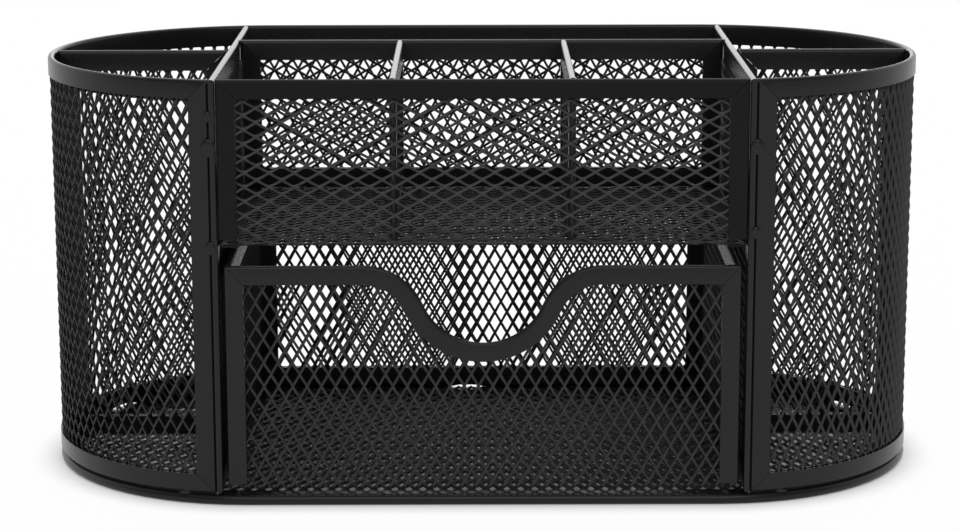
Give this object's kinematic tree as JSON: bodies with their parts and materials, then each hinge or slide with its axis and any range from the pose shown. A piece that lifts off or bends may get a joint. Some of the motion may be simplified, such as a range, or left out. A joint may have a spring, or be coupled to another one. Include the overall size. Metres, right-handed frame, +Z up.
{
  "type": "desk organizer with drawer",
  "caption": "Round-ended desk organizer of black expanded-metal mesh with upright pen pockets, a divided tray on top and a pull-out mesh drawer below it.",
  "frame": {"origin": "middle of the underside, on the surface that the stand rests on", "axes": "+X to the right seen from the front, +Y to the back, +Z up; the drawer opens towards -Y"},
  "size_m": [0.21, 0.1, 0.1],
  "materials": {
    "mesh": "satin black powder coat",
    "edge_strip": "satin black powder coat"
  },
  "bodies": {
    "stand": {"base_rim": "edge_strip", "base_mesh": "mesh", "wall_top_rim": "edge_strip", "wall_bottom_strip": "edge_strip", "outer_wall_mesh": "mesh", "left_post_strip": "edge_strip", "right_post_strip": "edge_strip", "left_divider_mesh": "mesh", "left_divider_frame": "edge_strip", "right_divider_mesh": "mesh", "right_divider_frame": "edge_strip", "left_end_divider_mesh": "mesh", "left_end_divider_frame": "edge_strip", "right_end_divider_mesh": "mesh", "right_end_divider_frame": "edge_strip", "tray_mesh": "mesh", "tray_front_strip": "edge_strip", "tray_floor_strip": "edge_strip", "tray_back_mesh": "mesh", "tray_back_frame": "edge_strip", "left_tray_divider_mesh": "mesh", "left_tray_divider_frame": "edge_strip", "right_tray_divider_mesh": "mesh", "right_tray_divider_frame": "edge_strip"},
    "drawer": {"drawer_mesh": "mesh", "drawer_front_strip": "edge_strip", "left_drawer_side_mesh": "mesh", "left_drawer_side_frame": "edge_strip", "right_drawer_side_mesh": "mesh", "right_drawer_side_frame": "edge_strip", "drawer_back_mesh": "mesh", "drawer_back_frame": "edge_strip"}
  },
  "joints": [
    {"name": "drawer_slide", "type": "slide", "parent": "stand", "child": "drawer", "axis": [0, -1, 0], "range_m": [0, 0.08]}
  ]
}
